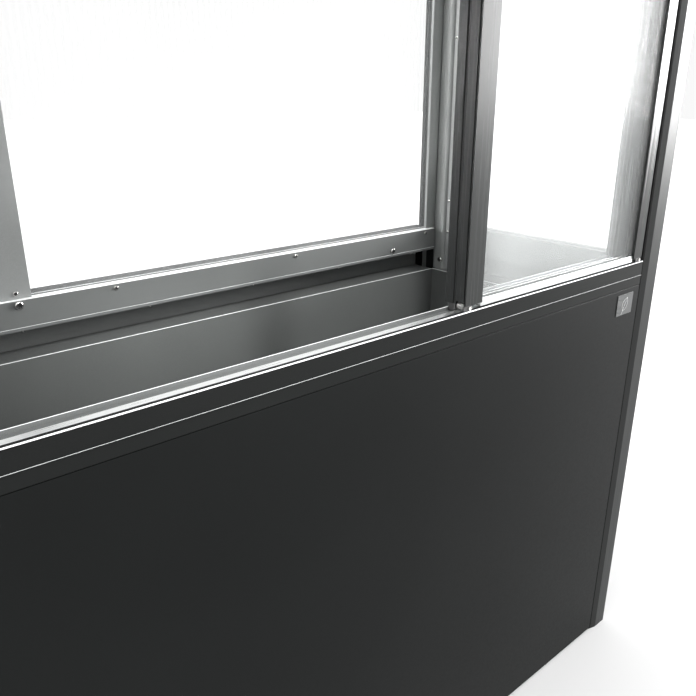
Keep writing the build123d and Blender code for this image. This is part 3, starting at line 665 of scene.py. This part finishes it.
# ---- Floor, light and camera
# A plain pale floor in a soft white studio that is brightest beyond the right-hand end of the bed,
# with one weak lamp over the opening. The camera looks down on the right half of the front.
floor_size = 30
floor_dark, floor_grey, floor_pale = (0.82, 0.82, 0.82), (0.83, 0.83, 0.83), (0.84, 0.84, 0.84)
floor_mesh = bpy.data.meshes.new("studio_floor")
work = bmesh.new()
bmesh.ops.create_grid(work, x_segments=1, y_segments=1, size=floor_size)
work.to_mesh(floor_mesh)
work.free()
floor_finish, floor_shader = new_finish("studio_floor", floor_grey, 1.0, shine=0.0)
floor_finish.node_tree.links.new(tint(floor_finish, grain(floor_finish, 1.5), floor_dark, floor_pale),
                                 floor_shader.inputs["Base Color"])
floor = link("studio_floor", floor_mesh, [floor_finish])

world = bpy.data.worlds.new("studio")
world.use_nodes = True
bpy.context.scene.world = world
background = world.node_tree.nodes["Background"]
direction = world.node_tree.nodes.new("ShaderNodeTexCoord").outputs["Generated"]

# the light from all round, and where it grows: direction, cosines of start and stop, strength
studio_base = 0.62
studio_glows = (
    ((0.92, -0.39, 0.10), 0.93, 1.0, 50.0),     # beyond the right-hand end
    ((0.3, 0.95, 0.1), -0.2, 0.6, 0.33),        # the rear wall
    ((0, 0, 1), 0.2, 1.0, 0.10),                # the ceiling
    ((-0.85, 0.10, 0.50), 0.2, 1.0, 1.1),       # high on the left
    ((-0.70, 0.70, 0.06), 0.80, 1.0, 9.0),      # the rear left corner
)


def glow(towards, start, stop, strength):
    """Light that grows from start to stop, as cosines of the angle to a direction."""
    dot = world.node_tree.nodes.new("ShaderNodeVectorMath")
    dot.operation = "DOT_PRODUCT"
    dot.inputs[1].default_value = Vector(towards).normalized()
    world.node_tree.links.new(direction, dot.inputs[0])
    ranged = world.node_tree.nodes.new("ShaderNodeMapRange")
    ranged.interpolation_type = "SMOOTHSTEP"
    for socket, number in (("From Min", start), ("From Max", stop), ("To Min", 0), ("To Max", strength)):
        ranged.inputs[socket].default_value = number
    world.node_tree.links.new(dot.outputs["Value"], ranged.inputs["Value"])
    return ranged.outputs["Result"]


total = None
for patch in studio_glows:
    add = world.node_tree.nodes.new("ShaderNodeMath")
    add.operation = "ADD"
    world.node_tree.links.new(glow(*patch), add.inputs[0])
    if total:
        world.node_tree.links.new(total, add.inputs[1])
    else:
        add.inputs[1].default_value = studio_base
    total = add.outputs["Value"]
world.node_tree.links.new(total, background.inputs["Strength"])
background.inputs["Color"].default_value = (1, 1, 1, 1)

lamp = bpy.data.lights.new("opening_lamp", "AREA")
lamp.shape = "RECTANGLE"
lamp.size = 0.9
lamp.size_y = 0.55
lamp.spread = radians(14)
lamp.energy = 2.6
opening_lamp = bpy.data.objects.new("opening_lamp", lamp)
bpy.context.scene.collection.objects.link(opening_lamp)
lamp_aim = Vector((0.45, 0.15, sill_top + 0.02))
lamp_beam = Vector((0, 0.72, -0.69)).normalized()
lamp_distance = 2.2
lamp_turn = lamp_beam.to_track_quat("-Z", "Y").to_matrix().to_4x4()
opening_lamp.matrix_world = Matrix.Translation(lamp_aim - lamp_beam * lamp_distance) @ lamp_turn

# the camera stands off the front right post, a little above the sill
post_low, post_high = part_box("post_front_right")
beside_post, before_post, above_sill = 1.2995, 0.615, 0.2956
camera_tilt, camera_heading = 20.11, 40.5
pane_faces = 48            # clear faces that light may pass, one sheet behind another
camera_data = bpy.data.cameras.new("camera")
camera_data.sensor_width = 36
camera_data.lens = 36.48
camera_data.clip_start = 0.01
camera = bpy.data.objects.new("camera", camera_data)
bpy.context.scene.collection.objects.link(camera)
camera.location = (post_high.x - beside_post, post_low.y - before_post, sill_top + above_sill)
camera.rotation_euler = (radians(90 - camera_tilt), 0, radians(-camera_heading))
bpy.context.scene.camera = camera
bpy.context.scene.view_settings.view_transform = "Standard"
bpy.context.scene.cycles.transparent_max_bounces = pane_faces
